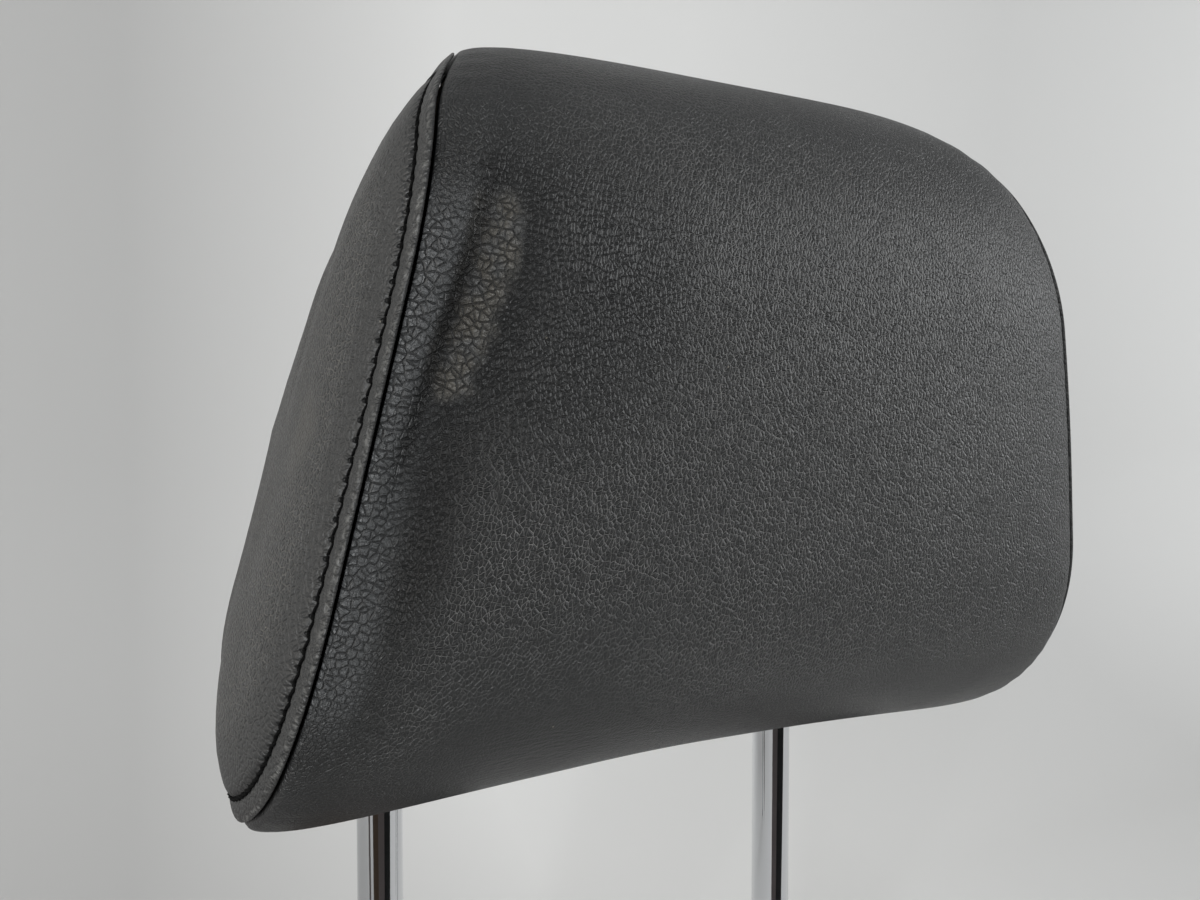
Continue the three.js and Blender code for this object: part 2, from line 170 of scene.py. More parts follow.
follow_bends(cut_end(), POST_TIP)
end_face = (POST_RADIUS - END_EASE) / POST_BORE
ring = push_ring(hoop, cut_end(), widen=end_face, centre=(post_x, 0, 0))
eased = POST_RADIUS / (POST_RADIUS - END_EASE)
ring = push_ring(hoop, ring, (0, 0, END_EASE), eased, (post_x, 0, 0))
follow_bends(ring, POST_TIP + END_EASE)
bmesh.ops.remove_doubles(hoop, verts=hoop.verts, dist=0.00001)
bmesh.ops.mirror(hoop, geom=hoop.verts[:] + hoop.edges[:] + hoop.faces[:], matrix=Matrix(),
                 merge_dist=0.00001, axis="X")
bmesh.ops.recalc_face_normals(hoop, faces=hoop.faces)
make_piece("chromed_hoop", hoop, chrome, ["post_hoop"])


# End plugs
# Black moulded plastic plugs that close the two open ends of the tube.
# Each has a low head with an eased rim, and a shank pressed into the bore.
PLUG_EASE = 0.001
PLUG_SHANK = 0.012
PLUG_GAP = 0.0003


def turn_profile(mesh, profile, centre, steps):
    verts = [mesh.verts.new((centre[0] + radius, centre[1], centre[2] + up)) for radius, up in profile]
    edges = [mesh.edges.new(pair) for pair in zip(verts, verts[1:])]
    bmesh.ops.spin(mesh, geom=verts + edges, cent=centre, axis=(0, 0, 1), dvec=(0, 0, 0),
                   angle=math.tau, steps=steps, use_merge=True, use_duplicate=False)
    bmesh.ops.remove_doubles(mesh, verts=mesh.verts, dist=0.00001)
    bmesh.ops.recalc_face_normals(mesh, faces=mesh.faces)


plastic, plastic_shader = new_material("black_moulded_plastic", (0.018, 0.019, 0.020), 0.42)
mould = add_noise(plastic, 2400.0, 2.0)
link(plastic, add_range(plastic, mould.outputs["Fac"], 0.34, 0.55), plastic_shader.inputs["Roughness"])
link(plastic, add_bump(plastic, mould.outputs["Fac"], 0.00002), plastic_shader.inputs["Normal"])

for side_name, side in LEFT_RIGHT:
    plug = bmesh.new()
    outline = [
        (0, 0),
        (POST_RADIUS - PLUG_EASE, 0),
        (POST_RADIUS - PLUG_EASE * 0.3, PLUG_EASE * 0.3),
        (POST_RADIUS, PLUG_EASE),
        (POST_RADIUS, POST_TIP - PLUG_GAP),
        (POST_BORE - PLUG_GAP, POST_TIP - PLUG_GAP),
        (POST_BORE - PLUG_GAP, POST_TIP + PLUG_SHANK),
        (0, POST_TIP + PLUG_SHANK),
    ]
    turn_profile(plug, outline, Vector((side * POST_SPACING / 2, 0, 0)), 48)
    plug_piece = make_piece(f"end_plug_{side_name}", plug, plastic,
                            [f"post_end_plug_{side_name}"])
    plug_edges = plug_piece.modifiers.new("eased_edges", "BEVEL")
    plug_edges.width = 0.0002
    plug_edges.segments = 2
    plug_edges.limit_method = "ANGLE"


# Carrier, closure strips and screws
# Two moulded plastic shells clamp the hoop inside the foam, joined by four zinc-plated screws.
# Two hooked strips sewn to the cover's flaps close it underneath. All keep their CAD shapes.
def dress_node(name, material):
    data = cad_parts[name].data
    data.materials.clear()
    data.materials.append(material)


zinc, zinc_shader = new_material("zinc_plated_steel", (0.42, 0.43, 0.44), 0.3, 1.0)
plating = add_noise(zinc, 1800.0, 3.0)
link(zinc, add_range(zinc, plating.outputs["Fac"], 0.22, 0.42), zinc_shader.inputs["Roughness"])
for number in range(1, 5):
    dress_node(f"carrier_screw_{number}", zinc)
for node in ("carrier_front_shell", "carrier_rear_shell", "closure_strip_front", "closure_strip_rear"):
    dress_node(node, plastic)


# Main panel of the cover
# One piece of black grained leatherette that wraps the front, top, back and underside of the
# pad. Its two flaps meet under the cushion at the posts, and its sides are sewn to the panels.
SLIT = 0.002
REAR_BOTTOM = (0.030, UNDERSIDE, 0.018)
REAR_TOP = (0.002, UNDERSIDE + 0.1923, 0.039)
FRONT_TOP = (-0.114, UNDERSIDE + 0.1805, 0.060)
FRONT_BOTTOM = (-0.097, UNDERSIDE, 0.068)
MIDDLE_HEIGHT = UNDERSIDE + 0.097
SEAM_HALF_WIDTH = 0.0975
SIDE_TAPER = 0.22
TOP_TURN_START = UNDERSIDE + 0.158
TOP_TURN = 13.5
TOP_TURN_EASE = 0.56
TOP_TURN_EASE_FROM = -0.080
TOP_TURN_EASE_LENGTH = 0.080
FLARE_START = UNDERSIDE + 0.023
FLARE = 1.73
REAR_NARROWING = 0.0137
REAR_LOW_NARROWING = 0.00654
REAR_FADE = (-0.060, 0.010)
RIGHT_EDGE_INSET = 0.0007
RIGHT_EDGE_BOW = 0.0017
BOW_HEIGHT = 0.040
FRONT_CROWN = 0.0039
TOP_CROWN = 0.0053
TOP_SKEW = 0.00076
BOTTOM_CROWN = 0.0023
ROLL_CROWN = 0.0077
ROLL_HOLLOW = 0.0070
ROLL_FROM = (-0.036, -0.062)
CROWN_FLATNESS = 5.9
CROWN_EDGE = 0.606
ROLL_FLATNESS = 5.58
ROLL_EDGE = 0.366
MAIN_AROUND = 330
MAIN_ACROSS = 116
LIP_STEPS = 7
SHOULDER_STEPS = 4
SHOULDER_RADIUS = 0.0009
HALF_GROOVE = 0.00022
LIP_DEPTH = 0.0024
PANEL_THICKNESS = 0.0012
POST_HOLE = 0.0074
VALLEY_TOP = (0.0125, 0.3130)
VALLEY_BOTTOM = (0.0075, 0.2600)
VALLEY_DEPTH = 0.0038
VALLEY_LEFT_WIDTH = 0.0028
VALLEY_RIGHT_WIDTH = 0.0110
VALLEY_HEIGHT = 0.040
PALE_PATCH_TOP = (-0.0745, 0.3050)
PALE_PATCH_BOTTOM = (-0.0838, 0.2735)
PALE_PATCH_WIDTH = 0.0052
PATCH_MIDDLE = (-0.070, 0.292)
PATCH_CREASES = (0.020, 0.052)
VALLEY_SHADE_UP = (0.248, 0.262, 0.312, 0.330)
HOLLOW_LINE = 0.0145
HOLLOW_WIDTH = 0.0065
HOLLOW_UP = (0.212, 0.236, 0.250, 0.270)
ROLL_GRAIN_ACROSS = (0.012, 0.006)
ROLL_GRAIN_UP = (0.195, 0.215, 0.300, 0.318)
ROLL_CREASES = (0.008, 0.022)
TOP_STRETCH = 0.331
LOW_STRETCH = (0.210, 0.186)
RIGHT_EASE = 0.40
RIGHT_EASE_FROM = (0.035, 0.090)
LOW_LEFT_EASE = 0.75
LOW_LEFT_UP = (0.232, 0.212)
LOW_LEFT_ACROSS = (-0.015, -0.050)
LOW_LEFT_END = (-0.100, -0.078)
STRETCHED_LOSS = 0.80
CREASE_WANDER = 0.006
SLACK = 0.0004
PUCKER = 0.00010
PUCKER_PITCH = 0.0078
PAD_MIDDLE = (0, -0.045, 0.265)


def smooth(low, high, value):
    share = min(max((value - low) / (high - low), 0), 1)
    return share * share * (3 - 2 * share)


def hump(value, centre, width):
    return math.exp(-((value - centre) / width) ** 2)


def between(bounds, value):
    """Rises over the first two bounds, stays at 1 and falls over the last two."""
    return smooth(bounds[0], bounds[1], value) * smooth(bounds[3], bounds[2], value)


def from_left_seam(place):
    return place.x + seam_half_width(Vector((place.y, place.z)), -1)


def outline_pieces():
    corners = (REAR_BOTTOM, REAR_TOP, FRONT_TOP, FRONT_BOTTOM)
    pieces = []
    last = Vector((SLIT / 2, UNDERSIDE))
    for number, (depth, up, radius) in enumerate(corners):
        corner = Vector((depth, up))
        before = Vector(corners[number - 1][:2])
        after = Vector(corners[(number + 1) % 4][:2])
        to_before = (before - corner).normalized()
        to_after = (after - corner).normalized()
        half = math.acos(to_before.dot(to_after)) / 2
        start = corner + to_before * radius / math.tan(half)
        centre = corner + (to_before + to_after).normalized() * radius / math.sin(half)
        pieces.append(("straight", last, start, (start - last).length))
        turn = math.pi - 2 * half
        pieces.append(("arc", centre, start, radius * turn))
        last = corner + to_after * radius / math.tan(half)
    end = Vector((-SLIT / 2, UNDERSIDE))
    pieces.append(("straight", last, end, (end - last).length))
    return pieces


OUTLINE = outline_pieces()
OUTLINE_LENGTH = sum(piece[3] for piece in OUTLINE)


def outline_at(distance):
    left = min(max(distance, 0), OUTLINE_LENGTH)
    for kind, first, second, length in OUTLINE:
        if left <= length + 1e-9:
            break
        left -= length
    if kind == "straight":
        along = (second - first).normalized()
        return first + along * left, Vector((along.y, -along.x))
    arm = second - first
    angle = left / arm.length
    turned = Matrix.Rotation(angle, 2) @ arm
    return first + turned, turned.normalized()


def tapered_half_width(up):
    return SEAM_HALF_WIDTH - SIDE_TAPER * (up - MIDDLE_HEIGHT)


def seam_half_width(point, side):
    above = max(point.y - TOP_TURN_START, 0)
    below = max(FLARE_START - point.y, 0)
    behind = min(max((point.x - TOP_TURN_EASE_FROM) / TOP_TURN_EASE_LENGTH, 0), 1)
    turn = TOP_TURN * (1 - TOP_TURN_EASE * behind)
    width = tapered_half_width(point.y) - turn * above ** 2 + FLARE * below ** 2
    upper = min(max((point.y - MIDDLE_HEIGHT) / 0.080, 0), 1)
    lower = min(max((MIDDLE_HEIGHT + 0.020 - point.y) / 0.100, 0), 1)
    narrowing = REAR_NARROWING * upper + REAR_LOW_NARROWING * lower
    width -= narrowing * smooth(*REAR_FADE, point.x)
    if side > 0:
        width += RIGHT_EDGE_BOW * hump(point.y, MIDDLE_HEIGHT, BOW_HEIGHT) - RIGHT_EDGE_INSET
    return width


def crown_height(point, normal, across, side):
    facing_up = max(normal.y, 0) ** 2
    facing_down = max(-normal.y, 0) ** 1.5
    plain = (1 - across ** CROWN_FLATNESS) ** CROWN_EDGE
    roll = ROLL_CROWN * (1 - across ** ROLL_FLATNESS) ** ROLL_EDGE
    roll -= ROLL_HOLLOW * (1 - across ** 2)
    in_front = smooth(*ROLL_FROM, point.x)
    below = in_front * roll + (1 - in_front) * BOTTOM_CROWN * plain
    top = (TOP_CROWN + TOP_SKEW * side * across) * plain
    above = top * facing_up + FRONT_CROWN * plain * (1 - facing_up)
    return above * (1 - facing_down) + below * facing_down


def pale_patch(place):
    """How far a point lies in the pale patch of painted sheen beside the left roll."""
    top = Vector(PALE_PATCH_TOP)
    bottom = Vector(PALE_PATCH_BOTTOM)
    here = Vector((place.x, place.z))
    share = min(max((here - bottom).dot(top - bottom) / (top - bottom).length_squared, 0), 1)
    away = (here - bottom.lerp(top, share)).length
    ragged = noise.noise(Vector((place.x * 260, 7.0, place.z * 260))) * 0.0022
    return 1 - smooth(PALE_PATCH_WIDTH - 0.0018, PALE_PATCH_WIDTH + 0.0012, away + ragged)


def main_panel_point(distance, column):
    point, normal = outline_at(distance)
    side = 1 if column > MAIN_ACROSS / 2 else -1
    step = min(column, MAIN_ACROSS - column)
    half_width = seam_half_width(point, side)
    edge = half_width - HALF_GROOVE
    start = edge - SHOULDER_RADIUS
    drop = 0
    if step >= LIP_STEPS:
        share = 1 - (step - LIP_STEPS) / (MAIN_ACROSS / 2 - LIP_STEPS)
        sideways = start * math.sin(math.pi / 2 * share)
    elif step >= LIP_STEPS - SHOULDER_STEPS:
        turn = math.pi / 2 * (LIP_STEPS - step) / SHOULDER_STEPS
        sideways = start + SHOULDER_RADIUS * math.sin(turn)
        drop = SHOULDER_RADIUS * (1 - math.cos(turn))
    else:
        share = 1 - step / (LIP_STEPS - SHOULDER_STEPS)
        sideways = edge + 0.0001 * share
        drop = SHOULDER_RADIUS + LIP_DEPTH * share
    across = min(sideways / half_width, 0.9975)
    rise = crown_height(point, normal, across, side) - drop
    front = max(-normal.x, 0) ** 2
    if side < 0 and step >= LIP_STEPS:
        beside = half_width - sideways
        line, climb = valley_line(point.y)
        spread = VALLEY_LEFT_WIDTH if beside < line else VALLEY_RIGHT_WIDTH
        along = hump(climb, 0.5, VALLEY_HEIGHT / (VALLEY_TOP[1] - VALLEY_BOTTOM[1]))
        rise -= VALLEY_DEPTH * hump(beside, line, spread) * along * front
    slack = noise.noise(Vector((side * sideways * 22, point.x * 16, point.y * 16)))
    rise += SLACK * slack * (1 - across ** 8)
    phase = 3 * noise.noise(Vector((distance * 40, side, 0)))
    pucker = math.sin(distance * math.tau / PUCKER_PITCH + phase)
    rise += PUCKER * pucker * hump(edge - sideways, 0.004, 0.0045)
    at = point + normal * rise
    return Vector((side * sideways, at.x, at.y)), normal


def valley_line(up):
    """The valley's distance from the left seam, and how far up its length a height is."""
    climb = (up - VALLEY_BOTTOM[1]) / (VALLEY_TOP[1] - VALLEY_BOTTOM[1])
    return VALLEY_BOTTOM[0] + (VALLEY_TOP[0] - VALLEY_BOTTOM[0]) * climb, climb


def valley_shade(place):
    """How far a point gets painted shade: in the bottom of the valley and in the hollow below it."""
    beside = from_left_seam(place)
    line = valley_line(place.z)[0]
    upper = hump(beside, line - 0.0006, 0.0024) * between(VALLEY_SHADE_UP, place.z)
    lower = hump(beside, HOLLOW_LINE, HOLLOW_WIDTH) * between(HOLLOW_UP, place.z)
    return min(upper + lower, 1)


def coarse_share(place):
    """How coarse the grain is: large plates on the left roll and in the pale patch. It also masks the
    painted highlight on those plates.
    """
    roll = smooth(*ROLL_GRAIN_ACROSS, from_left_seam(place)) * between(ROLL_GRAIN_UP, place.z)
    return max(roll, pale_patch(place))


def crease_tone(place):
    """How far the creases get painted highlight rather than painted shade: pale painted highlight on
    the face, dark painted shade on the left roll and round the patch.
    """
    away = (Vector((place.x, place.z)) - Vector(PATCH_MIDDLE)).length
    wander = CREASE_WANDER * noise.noise(Vector((place.x * 40, 2.0, place.z * 40)))
    off_roll = smooth(*ROLL_CREASES, from_left_seam(place) + wander)
    return off_roll * smooth(*PATCH_CREASES, away + wander)


def grain_depth(place):
    """How deep the grain stands: less where the sheet is stretched over the rolls."""
    top_line = TOP_STRETCH - 0.30 * max(-place.x - 0.045, 0) - 0.05 * max(place.x, 0)
    up = place.z + CREASE_WANDER * noise.noise(Vector((place.x * 30, 0, place.z * 30)))
    stretched = smooth(top_line - 0.014, top_line + 0.010, up) + smooth(*LOW_STRETCH, up)
    right = RIGHT_EASE * smooth(*RIGHT_EASE_FROM, place.x)
    low_left = smooth(*LOW_LEFT_UP, up) * smooth(*LOW_LEFT_ACROSS, place.x)
    low_left *= LOW_LEFT_EASE * smooth(*LOW_LEFT_END, place.x)
    return (1 - STRETCHED_LOSS * min(stretched, 1)) * (1 - max(right, low_left))


main_panel = bmesh.new()
bmesh.ops.create_grid(main_panel, x_segments=MAIN_ACROSS, y_segments=MAIN_AROUND, size=0.5)
grain_uv = main_panel.loops.layers.uv.new("grain_map")
grain = main_panel.verts.layers.float.new("grain_depth")
patch = main_panel.verts.layers.float.new("pale_patch")
shade = main_panel.verts.layers.float.new("valley_shade")
tone = main_panel.verts.layers.float.new("crease_tone")
coarse = main_panel.verts.layers.float.new("coarse_grain")
edge_shade = main_panel.verts.layers.float.new("groove")
for vert in main_panel.verts:
    distance = (vert.co.y + 0.5) * OUTLINE_LENGTH
    column = round((vert.co.x + 0.5) * MAIN_ACROSS)
    place, normal = main_panel_point(distance, column)
    near_slit = min(distance, OUTLINE_LENGTH - distance)
    for side in (-1, 1):
        away = Vector((place.x - side * POST_SPACING / 2, place.y))
        if near_slit < 0.010 and away.length < POST_HOLE:
            clear = math.sqrt(POST_HOLE ** 2 - away.x ** 2)
            place.y = clear if distance < OUTLINE_LENGTH / 2 else -clear
    vert[grain] = grain_depth(place)
    vert[patch] = pale_patch(place) * max(-normal.x, 0)
    vert[shade] = valley_shade(place) * max(-normal.x, 0)
    vert[tone] = crease_tone(place)
    vert[coarse] = coarse_share(place) * max(-normal.x, 0)
    for loop in vert.link_loops:
        loop[grain_uv].uv = (place.x, distance)
    # Painted shade: the lip rows down in the seam groove get a near-black colour.
    vert[edge_shade] = 1 if min(column, MAIN_ACROSS - column) < LIP_STEPS - SHOULDER_STEPS + 1 else 0
    vert.co = place
bmesh.ops.recalc_face_normals(main_panel, faces=main_panel.faces)
if sum(face.normal.dot(face.calc_center_median() - Vector(PAD_MIDDLE))
       for face in main_panel.faces) < 0:
    bmesh.ops.reverse_faces(main_panel, faces=main_panel.faces)


def open_group(name, numbers_in, numbers_out):
    """A node group that takes a place and numbers, and puts numbers out."""
    group = bpy.data.node_groups.new(name, "ShaderNodeTree")
    group.interface.new_socket("Vector", in_out="INPUT", socket_type="NodeSocketVector")
    for socket in numbers_in:
        group.interface.new_socket(socket, in_out="INPUT", socket_type="NodeSocketFloat")
    for socket in numbers_out:
        group.interface.new_socket(socket, in_out="OUTPUT", socket_type="NodeSocketFloat")
    return group, group.nodes.new("NodeGroupInput"), group.nodes.new("NodeGroupOutput")


def group_math(group, operation, first, second=None):
    node = group.nodes.new("ShaderNodeMath")
    node.operation = operation
    for socket, value in zip(node.inputs, (first, second)):
        if isinstance(value, (int, float)):
            socket.default_value = value
        elif value is not None:
            group.links.new(value, socket)
    return node.outputs[0]


def pebble_grain():
    """Node group: leatherette grain, plates parted by creases, from the sheet's own UV map."""
    group, inside, outside = open_group("pebble_grain", ("Scale", "Crease Width"), ("Height", "Crease"))
    nodes = group.nodes
    links = group.links
    wander = nodes.new("ShaderNodeTexNoise")
    wander.inputs["Scale"].default_value = 520
    wander.inputs["Detail"].default_value = 2
    links.new(inside.outputs["Vector"], wander.inputs["Vector"])
    centred = nodes.new("ShaderNodeVectorMath")
    centred.operation = "SUBTRACT"
    centred.inputs[1].default_value = (0.5, 0.5, 0.5)
    links.new(wander.outputs["Color"], centred.inputs[0])
    small = nodes.new("ShaderNodeVectorMath")
    small.operation = "SCALE"
    small.inputs["Scale"].default_value = 0.0009
    links.new(centred.outputs[0], small.inputs[0])
    moved = nodes.new("ShaderNodeVectorMath")
    moved.operation = "ADD"
    links.new(inside.outputs["Vector"], moved.inputs[0])
    links.new(small.outputs[0], moved.inputs[1])

    def creases(scale_factor, width_factor):
        cell = nodes.new("ShaderNodeTexVoronoi")
        cell.feature = "DISTANCE_TO_EDGE"
        cell.voronoi_dimensions = "2D"
        links.new(moved.outputs[0], cell.inputs["Vector"])
        scale = group_math(group, "MULTIPLY", inside.outputs["Scale"], scale_factor)
        links.new(scale, cell.inputs["Scale"])
        width = group_math(group, "MULTIPLY", inside.outputs["Crease Width"], width_factor)
        rise = nodes.new("ShaderNodeMapRange")
        rise.interpolation_type = "SMOOTHSTEP"
        links.new(cell.outputs["Distance"], rise.inputs["Value"])
        links.new(width, rise.inputs["From Max"])
        return rise.outputs["Result"]

    coarse = creases(1.0, 1.0)
    fine = creases(1.8, 1.0)
    line = creases(1.0, 0.36)
    blend = nodes.new("ShaderNodeMix")
    blend.data_type = "FLOAT"
    blend.inputs["Factor"].default_value = 0.18
    links.new(coarse, blend.inputs["A"])
    links.new(fine, blend.inputs["B"])
    skin = nodes.new("ShaderNodeTexNoise")
    skin.inputs["Scale"].default_value = 4200
    skin.inputs["Detail"].default_value = 2
    links.new(inside.outputs["Vector"], skin.inputs["Vector"])
    total = nodes.new("ShaderNodeMix")
    total.data_type = "FLOAT"
    total.inputs["Factor"].default_value = 0.12
    links.new(blend.outputs["Result"], total.inputs["A"])
    links.new(skin.outputs["Fac"], total.inputs["B"])
    links.new(total.outputs["Result"], outside.inputs["Height"])
    patchy = nodes.new("ShaderNodeTexNoise")
    patchy.inputs["Scale"].default_value = 500
    links.new(inside.outputs["Vector"], patchy.inputs["Vector"])
    strength = nodes.new("ShaderNodeMapRange")
    strength.inputs["From Min"].default_value = 0.25
    strength.inputs["From Max"].default_value = 0.55
    links.new(patchy.outputs["Fac"], strength.inputs["Value"])
    broken = group_math(group, "MULTIPLY", group_math(group, "SUBTRACT", 1, line),
                        strength.outputs["Result"])
    links.new(broken, outside.inputs["Crease"])
    return group


def dust_specks():
    """Node group: a few tiny specks of pale dust, from object coordinates."""
    group, inside, outside = open_group("dust_specks", (), ("Speck",))
    nodes = group.nodes
    links = group.links
    cell = nodes.new("ShaderNodeTexVoronoi")
    cell.inputs["Scale"].default_value = 95
    links.new(inside.outputs["Vector"], cell.inputs["Vector"])
    near = nodes.new("ShaderNodeMapRange")
    near.inputs["From Min"].default_value = 0.030
    near.inputs["From Max"].default_value = 0.014
    links.new(cell.outputs["Distance"], near.inputs["Value"])
    some = nodes.new("ShaderNodeSeparateColor")
    links.new(cell.outputs["Color"], some.inputs[0])
    few = group_math(group, "GREATER_THAN", some.outputs[0], 0.45)
    links.new(group_math(group, "MULTIPLY", near.outputs["Result"], few), outside.inputs["Speck"])
    return group


# Painted shade: the near-black colour given to the grain's creases, where shade falls.
CREASE_SHADE = (0.006, 0.006, 0.006)
GRAIN = pebble_grain()
DUST = dust_specks()


def read_attribute(material, name):
    node = material.node_tree.nodes.new("ShaderNodeAttribute")
    node.attribute_name = name
    return node.outputs["Fac"]


def add_math(material, operation, first, second, third=None):
    node = material.node_tree.nodes.new("ShaderNodeMath")
    node.operation = operation
    for socket, value in zip(node.inputs, (first, second, third)):
        if isinstance(value, (int, float)):
            socket.default_value = value
        elif value is not None:
            link(material, value, socket)
    return node.outputs[0]


def add_tint(material, below, above, share):
    node = material.node_tree.nodes.new("ShaderNodeMix")
    node.data_type = "RGBA"
    for name, value in (("A", below), ("B", above)):
        if isinstance(value, tuple):
            node.inputs[name].default_value = (*value, 1)
        else:
            link(material, value, node.inputs[name])
    link(material, share, node.inputs["Factor"])
    return node.outputs["Result"]


def add_blend(material, first, second, share):
    node = material.node_tree.nodes.new("ShaderNodeMix")
    node.data_type = "FLOAT"
    link(material, first, node.inputs["A"])
    link(material, second, node.inputs["B"])
    link(material, share, node.inputs["Factor"])
    return node.outputs["Result"]


def leatherette(name, colour, crease_highlight, cell_scale, crease_width, depth, stretch, slant,
                roughness):
    """A grained leatherette: its material, shader, height, colour and crease mask."""
    material, shader = new_material(name, colour, roughness)
    nodes = material.node_tree.nodes
    place = nodes.new("ShaderNodeTexCoord")
    sheet = nodes.new("ShaderNodeUVMap")
    sheet.uv_map = "grain_map"
    mapping = nodes.new("ShaderNodeMapping")
    mapping.vector_type = "TEXTURE"
    mapping.inputs["Scale"].default_value = stretch
    mapping.inputs["Rotation"].default_value = (0, 0, slant)
    link(material, sheet.outputs["UV"], mapping.inputs["Vector"])
    group = nodes.new("ShaderNodeGroup")
    group.node_tree = GRAIN
    group.inputs["Scale"].default_value = cell_scale
    group.inputs["Crease Width"].default_value = crease_width
    link(material, mapping.outputs["Vector"], group.inputs["Vector"])
    large = nodes.new("ShaderNodeGroup")
    large.node_tree = GRAIN
    large.inputs["Scale"].default_value = cell_scale * 0.58
    large.inputs["Crease Width"].default_value = crease_width * 0.8
    link(material, sheet.outputs["UV"], large.inputs["Vector"])
    coarse_here = read_attribute(material, "coarse_grain")
    grain_crease = add_blend(material, group.outputs["Crease"], large.outputs["Crease"], coarse_here)
    grain_height = add_blend(material, group.outputs["Height"], large.outputs["Height"], coarse_here)
    amount = read_attribute(material, "grain_depth")
    crease = add_math(material, "MULTIPLY", grain_crease, amount)
    wrinkles = add_noise(material, 1100.0, 2.0, (0.28, 1, 1))
    flat = add_math(material, "SUBTRACT", 1, amount)
    fine = add_math(material, "MULTIPLY", wrinkles.outputs["Fac"], flat)
    height = add_math(material, "MULTIPLY", grain_height, amount)
    height = add_math(material, "MULTIPLY_ADD", fine, 0.35, height)
    link(material, add_bump(material, height, depth), shader.inputs["Normal"])
    patches = add_noise(material, 28.0, 3.0)
    worn = add_range(material, patches.outputs["Fac"], roughness - 0.05, roughness + 0.05, 0.3, 0.7)
    dull = add_math(material, "MULTIPLY_ADD", crease, 0.15, worn)
    dull = add_math(material, "MULTIPLY_ADD", flat, 0.08, dull)
    link(material, dull, shader.inputs["Roughness"])
    # The creases are painted: painted highlight where crease_tone is high, painted shade where it is
    # low.
    pale = add_tint(material, CREASE_SHADE, crease_highlight, read_attribute(material, "crease_tone"))
    tint = add_tint(material, colour, pale, crease)
    dust = nodes.new("ShaderNodeGroup")
    dust.node_tree = DUST
    link(material, place.outputs["Object"], dust.inputs["Vector"])
    speck = add_math(material, "MULTIPLY", dust.outputs["Speck"], 0.8)
    return material, shader, height, add_tint(material, tint, (0.34, 0.31, 0.26), speck), crease


LEATHER_COLOUR = (0.0130, 0.0137, 0.0140)
ROLL_PLATE_HIGHLIGHT = (0.078, 0.081, 0.083)
# Painted highlight: the pale crease colour stands for light caught on the crease walls.
CREASE_HIGHLIGHT = (0.235, 0.232, 0.225)
VALLEY_PAINTED_SHADE = (0.004, 0.004, 0.004)
# PALE_PLATE is painted sheen on the main panel's pale patch; on the left side panel it paints a paler
# patch.
PALE_PLATE = (0.090, 0.084, 0.072)
GROOVE_PAINTED_SHADE = (0.004, 0.004, 0.004)
main_leather, main_shader, _, main_tint, main_crease = leatherette(
    "main_panel_leatherette", LEATHER_COLOUR, CREASE_HIGHLIGHT, 1020, 0.25, 0.00118, (1, 1.5, 1),
    math.radians(20), 0.38)
in_shade = add_math(main_leather, "MULTIPLY", read_attribute(main_leather, "valley_shade"), 0.9)
# Painted highlight: the plates on the left roll and in the pale patch are painted paler.
not_crease = add_math(main_leather, "SUBTRACT", 1, main_crease)
roll_highlight_share = add_math(main_leather, "MULTIPLY", read_attribute(main_leather, "coarse_grain"), not_crease)
main_tint = add_tint(main_leather, main_tint, ROLL_PLATE_HIGHLIGHT, roll_highlight_share)
# Painted sheen: in spots across the pale patch the plates are painted pale, with painted shade in its
# creases.
patch_sheen_tint = add_tint(main_leather, PALE_PLATE, CREASE_SHADE, main_crease)
patch_sheen_noise = add_noise(main_leather, 210.0, 2.0)
patch_sheen_spots = add_range(main_leather, patch_sheen_noise.outputs["Fac"], 0.30, 1.0, 0.38, 0.56)
painted_sheen_share = add_math(main_leather, "MULTIPLY", read_attribute(main_leather, "pale_patch"), patch_sheen_spots)
main_tint = add_tint(main_leather, main_tint, patch_sheen_tint, painted_sheen_share)
# Painted shade in the valley bottom and the hollow below it.
main_tint = add_tint(main_leather, main_tint, VALLEY_PAINTED_SHADE, in_shade)
# Painted shade in the seam groove.
main_tint = add_tint(main_leather, main_tint, GROOVE_PAINTED_SHADE, read_attribute(main_leather, "groove"))
link(main_leather, main_tint, main_shader.inputs["Base Color"])
main_piece = make_piece("main_panel", main_panel, main_leather, ["cover_main_panel"])
main_wall = main_piece.modifiers.new("sheet_thickness", "SOLIDIFY")
main_wall.thickness = PANEL_THICKNESS
main_wall.offset = -1


# Side panels of the cover
# Two domed pieces of the same leatherette, one on each side. The seam allowance is folded
# under each panel and topstitched, which raises a round welt all along the seam.
SIDE_DOME = 0.0092
END_DOME_GAIN = 0.100
END_DOME_EASE = 0.020
REAR_DOME_GAIN = 0.00069
DOME_FLATNESS = 3.82
SEAM_FADE = 1.2
SIDE_AROUND = 840
STITCH_INSET = 0.0051
STITCH_PITCH = 0.0039
WELT_PROFILE = (
    (0.0034, -0.0010), (0.0033, -0.0002), (0.0029, 0.0001), (0.0019, 0.0002), (0.0009, 0.00025),
    (0.0002, 0.00035), (-0.0002, 0.0006), (-0.0003, 0.0009), (-0.00015, 0.00115),
    (0.0002, 0.00130), (0.0006, 0.00134), (0.0011, 0.00128), (0.0017, 0.00114), (0.0024, 0.00096),
    (0.0031, 0.00078), (0.0037, 0.00060), (0.0042, 0.00036), (0.0046, 0.00006), (0.0049, -0.00024),
    (0.0052, -0.00034), (0.0055, -0.00010), (0.0058, 0.00018), (0.0063, 0.00040),
    (0.0070, 0.00052), (0.0080, 0.00056), (0.0094, 0.00050), (0.0112, 0.00045),
)
PUFF_FADE = 0.014
INNER_RINGS = 18
STITCH_PULL = 0.00036
STITCH_PULL_WIDTH = 0.0014
UNEVENNESS = 0.00010
HOLE_HALF_LENGTH = 0.0007
HOLE_HALF_WIDTH = 1.15
CRACK_HALF_WIDTH = 0.30
PANEL_MIDDLE_REACH = 0.065
